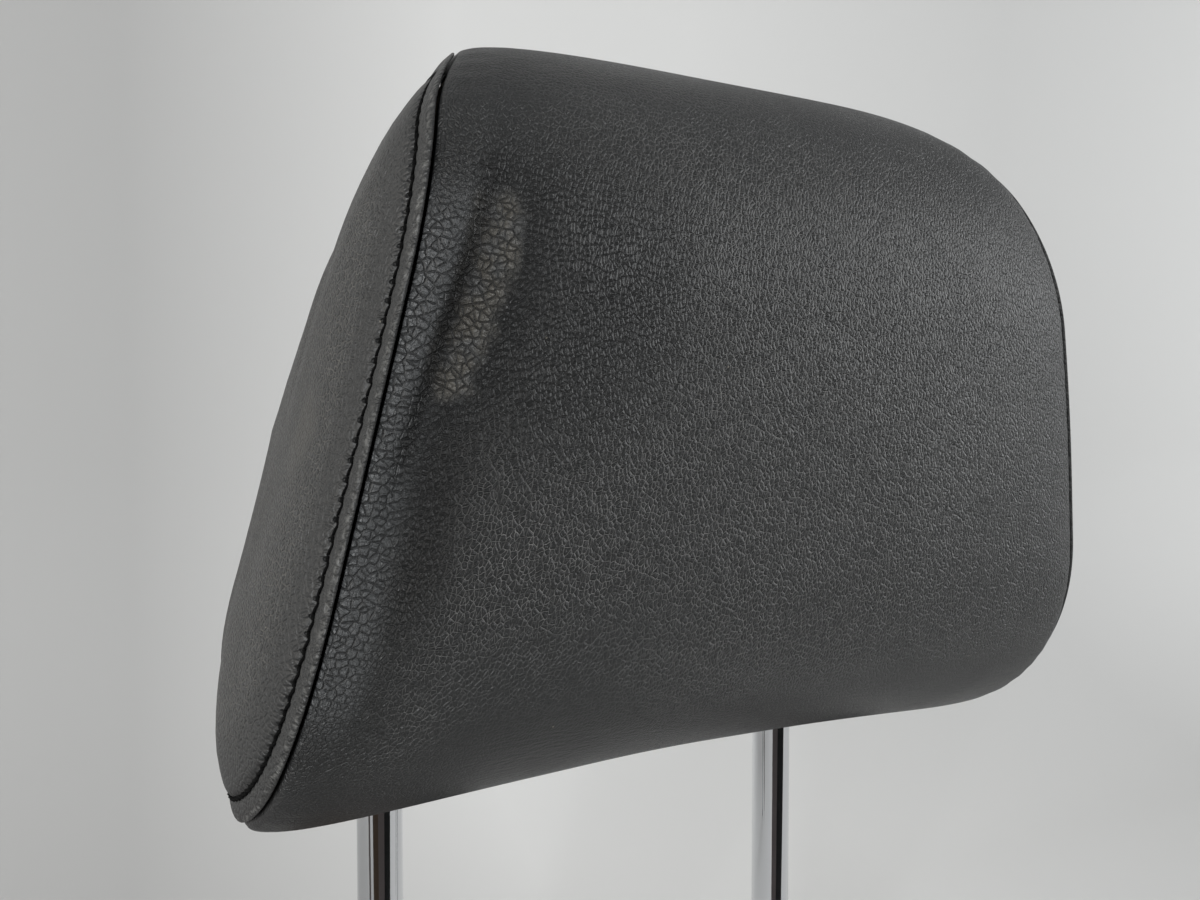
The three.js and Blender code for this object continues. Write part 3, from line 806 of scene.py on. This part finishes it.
OUTLINE_SAMPLES = 200

loop_length = OUTLINE_LENGTH + SLIT
outline_centre = Vector((0, 0))
for step in range(OUTLINE_SAMPLES):
    outline_centre += outline_at(OUTLINE_LENGTH * step / OUTLINE_SAMPLES)[0] / OUTLINE_SAMPLES


def side_panel_point(distance_round, from_seam, raised, share_in, side):
    """Point of a side panel, by its place round the seam and its distance from the seam."""
    point, normal = outline_at(min(distance_round, OUTLINE_LENGTH))
    if distance_round > OUTLINE_LENGTH:
        point = point + Vector((distance_round - OUTLINE_LENGTH, 0))
    reach = (point - outline_centre).length
    at = point - normal * from_seam
    at = at.lerp(outline_centre, share_in)
    inward = from_seam / reach + (1 - from_seam / reach) * share_in
    outward = 1 - max(inward, 0)
    offset = seam_half_width(point, side) - tapered_half_width(point.y)
    above = at.y - MIDDLE_HEIGHT
    dome = SIDE_DOME + END_DOME_GAIN * (math.hypot(above, END_DOME_EASE) - END_DOME_EASE)
    dome += REAR_DOME_GAIN * min(max((at.x + 0.050) / 0.060, -1), 1)
    width = tapered_half_width(at.y) + offset * outward ** SEAM_FADE
    width += dome * (1 - outward ** DOME_FLATNESS)
    beat = (0.5 + 0.5 * math.cos(math.tau * distance_round / STITCH_PITCH)) ** 3
    tight = hump(from_seam, STITCH_INSET, STITCH_PULL_WIDTH) * (1 - share_in)
    width += raised - STITCH_PULL * beat * tight
    unevenness = noise.noise(Vector((distance_round * 160, from_seam * 90, side * 5)))
    width += UNEVENNESS * unevenness * smooth(0.0003, 0.002, from_seam) * (1 - share_in)
    return Vector((side * width, at.x, at.y))


def needle_holes():
    """Node group: painted shade in the crack where the black thread lies and in its needle holes, from
    the seam's own UV map.
    """
    group, inside, outside = open_group("needle_holes", (), ("Pit",))
    nodes = group.nodes
    links = group.links
    parts = nodes.new("ShaderNodeSeparateXYZ")
    links.new(inside.outputs["Vector"], parts.inputs[0])
    phase = group_math(group, "FRACT", parts.outputs["X"])
    centred = group_math(group, "SUBTRACT", phase, 0.5)
    across = group_math(group, "SUBTRACT", parts.outputs["Y"], STITCH_INSET * 1000)
    spot = nodes.new("ShaderNodeCombineXYZ")
    along = group_math(group, "MULTIPLY", centred, STITCH_PITCH / HOLE_HALF_LENGTH)
    links.new(along, spot.inputs["X"])
    links.new(group_math(group, "MULTIPLY", across, 1 / HOLE_HALF_WIDTH), spot.inputs["Y"])
    far = nodes.new("ShaderNodeVectorMath")
    far.operation = "LENGTH"
    links.new(spot.outputs[0], far.inputs[0])
    beside = group_math(group, "ABSOLUTE", across)
    marks = []
    for away, clear, dark in ((far.outputs["Value"], 1.1, 0.6), (beside, 0.52, CRACK_HALF_WIDTH)):
        mark = nodes.new("ShaderNodeMapRange")
        mark.interpolation_type = "SMOOTHSTEP"
        mark.inputs["From Min"].default_value = clear
        mark.inputs["From Max"].default_value = dark
        links.new(away, mark.inputs["Value"])
        marks.append(mark.outputs["Result"])
    links.new(group_math(group, "MAXIMUM", *marks), outside.inputs["Pit"])
    return group


SIDE_COLOUR = (0.0165, 0.0170, 0.0170)
# Painted highlight: the side panel's pale crease colour stands for light caught on the crease walls.
SIDE_CREASE_HIGHLIGHT = (0.110, 0.106, 0.096)
STITCH_LINE_SHADE = (0.001, 0.001, 0.001)
WELT_HIGHLIGHT_COLOUR = (0.115, 0.115, 0.110)
SIDE_BUMP = 0.00060
side_leather, side_shader, side_height, side_tint, side_crease = leatherette(
    "side_panel_leatherette", SIDE_COLOUR, SIDE_CREASE_HIGHLIGHT, 900, 0.34, SIDE_BUMP,
    (1.5, 1.35, 1), 0, 0.42)
seam_map = side_leather.node_tree.nodes.new("ShaderNodeUVMap")
seam_map.uv_map = "seam_line"
holes = side_leather.node_tree.nodes.new("ShaderNodeGroup")
holes.node_tree = needle_holes()
link(side_leather, seam_map.outputs["UV"], holes.inputs["Vector"])
# In a small patch on the left side panel the plates are painted paler, with painted shade in the
# creases.
side_pale_patch_tint = add_tint(side_leather, PALE_PLATE, CREASE_SHADE, side_crease)
side_tint = add_tint(side_leather, side_tint, side_pale_patch_tint, read_attribute(side_leather, "pale_patch"))
# Painted shade in the seam groove.
side_tint = add_tint(side_leather, side_tint, GROOVE_PAINTED_SHADE, read_attribute(side_leather, "groove"))
# Painted shade in the stitch crack and needle holes; the crack's black also stands for the black thread
# lying in it.
side_tint = add_tint(side_leather, side_tint, STITCH_LINE_SHADE, holes.outputs["Pit"])
# Painted highlight: a broken pale line along the welt's outer shoulder.
welt_highlight_noise = add_noise(side_leather, 800.0, 3.0)
painted_sheen_share = add_range(side_leather, welt_highlight_noise.outputs["Fac"], 0, 0.9, 0.48, 0.66)
painted_sheen_share = add_math(side_leather, "MULTIPLY", painted_sheen_share, read_attribute(side_leather, "welt_highlight"))
side_tint = add_tint(side_leather, side_tint, WELT_HIGHLIGHT_COLOUR, painted_sheen_share)
link(side_leather, side_tint, side_shader.inputs["Base Color"])
side_height = add_math(side_leather, "MULTIPLY_ADD", holes.outputs["Pit"], -0.8, side_height)
link(side_leather, add_bump(side_leather, side_height, SIDE_BUMP), side_shader.inputs["Normal"])

SIDE_PATCH = (-0.070, 0.262)
stitch_count = round(loop_length / STITCH_PITCH)
welt_rings = len(WELT_PROFILE)
for side_name, side in LEFT_RIGHT:
    panel = bmesh.new()
    rings = welt_rings + INNER_RINGS
    bmesh.ops.create_grid(panel, x_segments=SIDE_AROUND, y_segments=rings - 1, size=0.5)
    seam_uv = panel.loops.layers.uv.new("seam_line")
    grain_uv = panel.loops.layers.uv.new("grain_map")
    grain = panel.verts.layers.float.new("grain_depth")
    patch = panel.verts.layers.float.new("pale_patch")
    edge_shade = panel.verts.layers.float.new("groove")
    tone = panel.verts.layers.float.new("crease_tone")
    coarse = panel.verts.layers.float.new("coarse_grain")
    welt_highlight = panel.verts.layers.float.new("welt_highlight")
    for vert in panel.verts:
        ring_number = round((vert.co.y + 0.5) * (rings - 1))
        share_round = vert.co.x + 0.5
        share_in = 0
        if ring_number < welt_rings:
            from_seam, raised = WELT_PROFILE[ring_number]
            beyond = from_seam
        else:
            from_seam, raised = WELT_PROFILE[-1]
            share_in = (ring_number - welt_rings + 1) / INNER_RINGS
            beyond = from_seam + share_in * PANEL_MIDDLE_REACH
            raised *= 1 - smooth(from_seam, from_seam + PUFF_FADE, beyond)
        place = side_panel_point(share_round * loop_length, from_seam, raised, share_in, side)
        for loop in vert.link_loops:
            loop[seam_uv].uv = (share_round * stitch_count + 0.5, beyond * 1000)
            loop[grain_uv].uv = (place.y, place.z)
        vert[grain] = 0.45 + 0.55 * smooth(0.008, 0.020, beyond)
        here = (place.yz - Vector(SIDE_PATCH)).length
        here += 0.004 * noise.noise(Vector((place.y * 200, place.z * 200, 3)))
        vert[coarse] = (1 - smooth(0.004, 0.012, here)) if side < 0 else 0
        vert[patch] = 0.35 * vert[coarse]
        # Painted shade: the welt's outer rings down in the seam groove get a near-black colour.
        vert[edge_shade] = 1 if ring_number < 5 else 0
        # Mostly painted shade in the creases near the seam, painted highlight in them further in.
        vert[tone] = 0.3 + 0.7 * smooth(0.010, 0.022, beyond)
        # Marks the welt's outer shoulder for the painted highlight.
        vert[welt_highlight] = hump(beyond, 0.0004, 0.0007) if ring_number > 6 else 0
        vert.co = place
    bmesh.ops.remove_doubles(panel, verts=panel.verts, dist=0.000002)
    bmesh.ops.recalc_face_normals(panel, faces=panel.faces)
    if sum(face.normal.x * side for face in panel.faces) < 0:
        bmesh.ops.reverse_faces(panel, faces=panel.faces)
    side_piece = make_piece(f"side_panel_{side_name}", panel, side_leather,
                            [f"cover_side_panel_{side_name}"])
    side_wall = side_piece.modifiers.new("sheet_thickness", "SOLIDIFY")
    side_wall.thickness = PANEL_THICKNESS * 0.5
    side_wall.offset = -1


# Foam pad
# One piece of moulded polyurethane foam with a skin, yellowish grey and full of fine cells.
# It fills the cover and holds the carrier in its pocket, and nothing of it shows outside.
FOAM_BELOW_COVER = 0.0026
FOAM_CAP_STEPS = 18
FOAM_AROUND = 120
FOAM_RIM = 0.008
FOAM_CAP_DEPTH = 0.0040

foam, foam_shader = new_material("moulded_foam", (0.34, 0.30, 0.22), 0.9)
cells = add_noise(foam, 1400.0, 4.0)
link(foam, add_bump(foam, cells.outputs["Fac"], 0.0003), foam_shader.inputs["Normal"])
foam_tint = add_tint(foam, (0.25, 0.22, 0.16), (0.40, 0.36, 0.27), cells.outputs["Fac"])
link(foam, foam_tint, foam_shader.inputs["Base Color"])

foam_pad = bmesh.new()
main_columns = (MAIN_ACROSS - 2 * LIP_STEPS) // 4
foam_columns = main_columns + 2 * FOAM_CAP_STEPS
bmesh.ops.create_grid(foam_pad, x_segments=foam_columns, y_segments=FOAM_AROUND, size=0.5)
for vert in foam_pad.verts:
    row = round((vert.co.y + 0.5) * FOAM_AROUND) % FOAM_AROUND
    column = round((vert.co.x + 0.5) * foam_columns)
    from_end = min(column, foam_columns - column)
    if from_end < FOAM_CAP_STEPS:
        side = -1 if column < FOAM_CAP_STEPS else 1
        share_in = 1 - from_end / (FOAM_CAP_STEPS - 1)
        distance = row / FOAM_AROUND * loop_length
        place = side_panel_point(distance, FOAM_RIM, -FOAM_CAP_DEPTH, share_in, side)
    else:
        main_column = LIP_STEPS + (column - FOAM_CAP_STEPS) * 4
        place, normal = main_panel_point(row / FOAM_AROUND * OUTLINE_LENGTH, main_column)
        place -= Vector((0, normal.x, normal.y)) * FOAM_BELOW_COVER
        if row == 0:
            place.y = 0
    vert.co = place
bmesh.ops.remove_doubles(foam_pad, verts=foam_pad.verts, dist=0.00005)
bmesh.ops.recalc_face_normals(foam_pad, faces=foam_pad.faces)
foam_piece = make_piece("foam_core", foam_pad, foam, ["foam_pad"])


# Topstitching
# Black polyester thread, one stitch after another along the inner edge of each welt.
# Each stitch is pulled tight into the sheet, lies a little slanted and dips at both ends.
THREAD_RADIUS = 0.00042
STITCH_LENGTH = 0.0033
STITCH_SLANT = math.radians(9)
STITCH_SINK = -0.00032
KNOT_SIZE = (0.0006, 0.0008, 0.0008)

thread, thread_shader = new_material("black_thread", (0.002, 0.002, 0.002), 0.9)
twist = add_noise(thread, 5200.0, 1.0)
link(thread, add_bump(thread, twist.outputs["Fac"], 0.00008), thread_shader.inputs["Normal"])
link(thread, add_range(thread, twist.outputs["Fac"], 0.8, 1.0), thread_shader.inputs["Roughness"])
thread_shader.inputs["Specular IOR Level"].default_value = 0.1

for side_name, side in LEFT_RIGHT:
    stitches = bmesh.new()
    for number in range(stitch_count):
        hole = side_panel_point(number / stitch_count * loop_length, STITCH_INSET, 0, 0, side)
        knot = Matrix.Translation(hole) @ Matrix.Diagonal((*KNOT_SIZE, 1))
        bmesh.ops.create_icosphere(stitches, subdivisions=1, radius=1, matrix=knot)
        middle = (number + 0.5) / stitch_count * loop_length
        here = side_panel_point(middle, STITCH_INSET, STITCH_SINK, 0, side)
        ahead = side_panel_point(min(middle + 0.0001, loop_length), STITCH_INSET, STITCH_SINK, 0, side)
        behind = side_panel_point(middle - 0.0001, STITCH_INSET, STITCH_SINK, 0, side)
        inner = side_panel_point(middle, STITCH_INSET + 0.001, STITCH_SINK, 0, side)
        along = (ahead - behind).normalized()
        out = along.cross(inner - here).normalized()
        if out.x * side < 0:
            out = -out
        along = Matrix.Rotation(STITCH_SLANT * side, 3, out) @ along
        turn = Matrix((along, out.cross(along), out)).transposed().to_4x4()
        lift = out * THREAD_RADIUS * 0.8
        size = Matrix.Diagonal((STITCH_LENGTH / 2, THREAD_RADIUS, THREAD_RADIUS, 1))
        bmesh.ops.create_icosphere(stitches, subdivisions=1, radius=1,
                                   matrix=Matrix.Translation(here + lift) @ turn @ size)
    make_piece(f"topstitch_{side_name}", stitches, thread, [f"side_topstitch_{side_name}"])


# Studio
# A pale floor that sweeps up into a pale wall behind the headrest, a tall soft window lamp on
# the right, soft lamps on the left and overhead, and the camera at the photograph's angle.
FLOOR_FRONT = -1.8
FLOOR_HALF_WIDTH = 3
WALL_AT = 0.34
SWEEP_RADIUS = 0.24
WALL_HEIGHT = 2.6
# The sweep's colour is painted light: darker to the left and a little darker far to the right, standing
# for how light falls across it. Its glow for camera and mirror rays follows the same tones.
WALL_PAINTED_FALLOFF = ((-0.15, 0.37), (0.05, 0.62), (0.25, 0.62), (0.60, 0.50))
TONES_LEFT = 0.3
WALL_GLOW = 0.30

sweep = bmesh.new()
corners = [sweep.verts.new((side * FLOOR_HALF_WIDTH, FLOOR_FRONT, 0)) for name, side in LEFT_RIGHT]
floor_edge = [sweep.edges.new(corners)]
floor_edge = push_ring(sweep, floor_edge, (0, WALL_AT - SWEEP_RADIUS - FLOOR_FRONT, 0))
floor_edge = bend_ring(sweep, floor_edge, (0, WALL_AT - SWEEP_RADIUS, SWEEP_RADIUS), (1, 0, 0),
                       math.pi / 2, 24)
push_ring(sweep, floor_edge, (0, 0, WALL_HEIGHT))
bmesh.ops.recalc_face_normals(sweep, faces=sweep.faces)
if sum(face.normal.z for face in sweep.faces) < 0:
    bmesh.ops.reverse_faces(sweep, faces=sweep.faces)
wall_paint, wall_shader = new_material("pale_wall", (0.60, 0.60, 0.59), 0.7)
wall_place = wall_paint.node_tree.nodes.new("ShaderNodeTexCoord")
wall_parts = wall_paint.node_tree.nodes.new("ShaderNodeSeparateXYZ")
link(wall_paint, wall_place.outputs["Object"], wall_parts.inputs[0])
rightward = add_range(wall_paint, wall_parts.outputs["X"], 0, 1, -TONES_LEFT, 1 - TONES_LEFT)
wall_tint = wall_paint.node_tree.nodes.new("ShaderNodeValToRGB")
for number, (at, tone) in enumerate(WALL_PAINTED_FALLOFF):
    stops = wall_tint.color_ramp.elements
    stop = stops[number] if number < 2 else stops.new(at + TONES_LEFT)
    stop.position = at + TONES_LEFT
    stop.color = (tone, tone, tone * 0.985, 1)
link(wall_paint, rightward, wall_tint.inputs["Fac"])
link(wall_paint, wall_tint.outputs["Color"], wall_shader.inputs["Base Color"])
link(wall_paint, wall_tint.outputs["Color"], wall_shader.inputs["Emission Color"])
seen = wall_paint.node_tree.nodes.new("ShaderNodeLightPath")
in_sight = add_math(wall_paint, "MAXIMUM", seen.outputs["Is Camera Ray"], seen.outputs["Is Glossy Ray"])
in_sight = add_math(wall_paint, "MAXIMUM", in_sight, seen.outputs["Is Transmission Ray"])
glow = add_math(wall_paint, "MULTIPLY", in_sight, WALL_GLOW)
link(wall_paint, glow, wall_shader.inputs["Emission Strength"])
behind = wall_paint.node_tree.nodes.new("ShaderNodeNewGeometry")
clear = wall_paint.node_tree.nodes.new("ShaderNodeBsdfTransparent")
one_sided = wall_paint.node_tree.nodes.new("ShaderNodeMixShader")
link(wall_paint, behind.outputs["Backfacing"], one_sided.inputs["Fac"])
link(wall_paint, wall_shader.outputs["BSDF"], one_sided.inputs[1])
link(wall_paint, clear.outputs["BSDF"], one_sided.inputs[2])
wall_output = wall_paint.node_tree.nodes["Material Output"]
link(wall_paint, one_sided.outputs["Shader"], wall_output.inputs["Surface"])
sweep_data = bpy.data.meshes.new("pale_sweep")
sweep.to_mesh(sweep_data)
sweep.free()
for face in sweep_data.polygons:
    face.use_smooth = True
sweep_data.materials.append(wall_paint)
backdrop = bpy.data.objects.new("pale_sweep", sweep_data)
bpy.context.scene.collection.objects.link(backdrop)


def add_lamp(name, place, aim, size, power, colour):
    data = bpy.data.lights.new(name, "AREA")
    data.shape = "RECTANGLE"
    data.size, data.size_y = size
    data.energy = power
    data.color = colour
    lamp = bpy.data.objects.new(name, data)
    lamp.location = place
    lamp.visible_camera = False
    lamp.rotation_euler = (Vector(aim) - Vector(place)).to_track_quat("-Z", "Y").to_euler()
    bpy.context.scene.collection.objects.link(lamp)
    return lamp


LAMP_AIM = (0, -0.05, 0.27)
add_lamp("window_lamp", (1.55, -0.45, 0.62), LAMP_AIM, (0.7, 1.1), 10, (0.97, 0.99, 1.0))
add_lamp("left_front_lamp", (-1.15, -1.00, 0.50), LAMP_AIM, (0.5, 0.9), 17, (0.98, 0.99, 1.0))
add_lamp("left_lamp", (-1.3, 0.20, 0.6), LAMP_AIM, (0.9, 1.0), 7, (1.0, 0.95, 0.88))
add_lamp("ceiling_lamp", (0, -0.1, 1.7), LAMP_AIM, (1.4, 1.0), 0.2, (1.0, 0.98, 0.95))

# The air around lights the object a little, and looks paler wherever it is seen or mirrored.
AIR_LIGHT = 0.20
AIR_SEEN = 0.42
world = bpy.data.worlds.new("studio_air")
bpy.context.scene.world = world
world.use_nodes = True
air = world.node_tree.nodes["Background"]
air.inputs["Color"].default_value = (0.97, 0.98, 1.0, 1)
seen_air = world.node_tree.nodes.new("ShaderNodeLightPath")
air_strength = world.node_tree.nodes.new("ShaderNodeMapRange")
air_strength.inputs["To Min"].default_value = AIR_LIGHT
air_strength.inputs["To Max"].default_value = AIR_SEEN
air_in_sight = seen_air.outputs["Is Camera Ray"]
for ray in ("Is Glossy Ray", "Is Transmission Ray"):
    either = world.node_tree.nodes.new("ShaderNodeMath")
    either.operation = "MAXIMUM"
    world.node_tree.links.new(air_in_sight, either.inputs[0])
    world.node_tree.links.new(seen_air.outputs[ray], either.inputs[1])
    air_in_sight = either.outputs[0]
world.node_tree.links.new(air_in_sight, air_strength.inputs["Value"])
world.node_tree.links.new(air_strength.outputs["Result"], air.inputs["Strength"])

# Narrow dark cards stand close in front of each post, from the floor to the cushion.
# Only mirror reflections show them, as the dark bands that polished chrome has in a room.
CARD_GAP = 0.030
CARD_TOP = 0.160
BROWN_CARD = (0.085, 0.055, 0.035)
GREY_CARD = (0.150, 0.128, 0.124)
BLACK_CARD = (0.003, 0.003, 0.003)
REFLECTION_CARDS = (
    (-1, -71, -61, GREY_CARD), (-1, -46, -20, BROWN_CARD), (-1, -20, 8, GREY_CARD),
    (-1, 8, 38, BLACK_CARD), (1, -27, 2, GREY_CARD), (1, 2, 45, BLACK_CARD),
)
for number, (side, left_angle, right_angle, colour) in enumerate(REFLECTION_CARDS):
    card_mesh = bmesh.new()
    spread = [math.tan(math.radians(angle)) * CARD_GAP for angle in (left_angle, right_angle)]
    ends = [card_mesh.verts.new((side * POST_SPACING / 2 + x, -CARD_GAP, 0.001)) for x in spread]
    push_ring(card_mesh, [card_mesh.edges.new(ends)], (0, 0, CARD_TOP))
    card_name = f"reflection_card_{number}"
    card_data = bpy.data.meshes.new(card_name)
    card_mesh.to_mesh(card_data)
    card_mesh.free()
    card_data.materials.append(new_material(card_name, colour, 0.9)[0])
    card = bpy.data.objects.new(card_name, card_data)
    bpy.context.scene.collection.objects.link(card)
    card.visible_camera = False
    card.visible_diffuse = False
    card.visible_shadow = False

CAMERA_PLACE = (-0.1359, -0.2787, 0.265)
CAMERA_YAW = math.radians(26.26)
CAMERA_PITCH = math.radians(-2.0)
FOCAL_PIXELS = 901
FRAME_PIXELS = 1200
SENSOR = 36
camera_data = bpy.data.cameras.new("camera")
camera_data.sensor_fit = "HORIZONTAL"
camera_data.sensor_width = SENSOR
camera_data.lens = FOCAL_PIXELS / FRAME_PIXELS * SENSOR
camera_data.clip_start = 0.01
camera = bpy.data.objects.new("camera", camera_data)
camera.location = CAMERA_PLACE
camera.rotation_euler = (math.pi / 2 + CAMERA_PITCH, 0, -CAMERA_YAW)
bpy.context.scene.collection.objects.link(camera)
bpy.context.scene.camera = camera
bpy.context.scene.view_settings.view_transform = "Standard"
